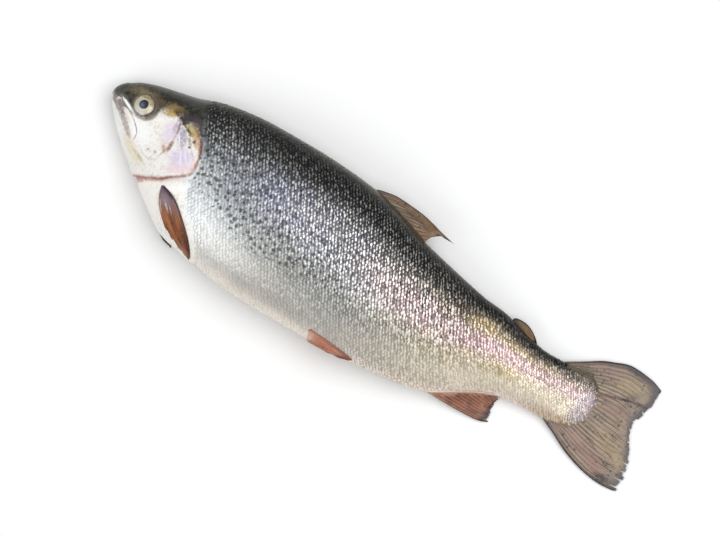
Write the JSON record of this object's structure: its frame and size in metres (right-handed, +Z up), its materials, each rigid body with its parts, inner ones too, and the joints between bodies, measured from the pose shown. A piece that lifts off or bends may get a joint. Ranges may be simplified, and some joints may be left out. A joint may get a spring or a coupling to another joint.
{
  "type": "rainbow trout",
  "caption": "Life-size still model of a rainbow trout lying on its side: spotted silver body, blunt head, folded fins and broad tail, resting flat.",
  "frame": {"origin": "middle of the underside of the model's bounding box, on the surface the fish lies on", "axes": "+X from snout to tail, +Y from belly to back, +Z up, out of the fish's left flank"},
  "size_m": [0.4532, 0.1216, 0.0602],
  "materials": {
    "head_skin": "wet scaleless skin, olive above and pale pink and gold on the cheek",
    "scaled_skin": "wet silver scales, near-black back, spotted flank, pink band and cream belly",
    "upper_fin": "brown fin skin with dark spots and a dark edge",
    "tail_fin": "grey-brown fin skin with yellow-brown rays and a frayed dark edge",
    "lower_fin": "orange-brown fin skin over fine rays",
    "eye": "clear cornea over a cream iris and a clouded black pupil"
  },
  "bodies": {
    "root": {"head": "head_skin", "lower_jaw": "head_skin", "gill_cover_left": "head_skin", "gill_cover_right": "head_skin", "upper_jaw_left": "head_skin", "upper_jaw_right": "head_skin", "eye_left": "eye", "eye_right": "eye", "trunk_front": "scaled_skin", "trunk_rear": "scaled_skin", "tail": "scaled_skin", "dorsal_fin": "upper_fin", "adipose_fin": "upper_fin", "caudal_fin": "tail_fin", "anal_fin": "lower_fin", "pelvic_fin_left": "lower_fin", "pelvic_fin_right": "lower_fin", "pectoral_fin_left": "lower_fin", "pectoral_fin_right": "lower_fin"}
  },
  "joints": []
}
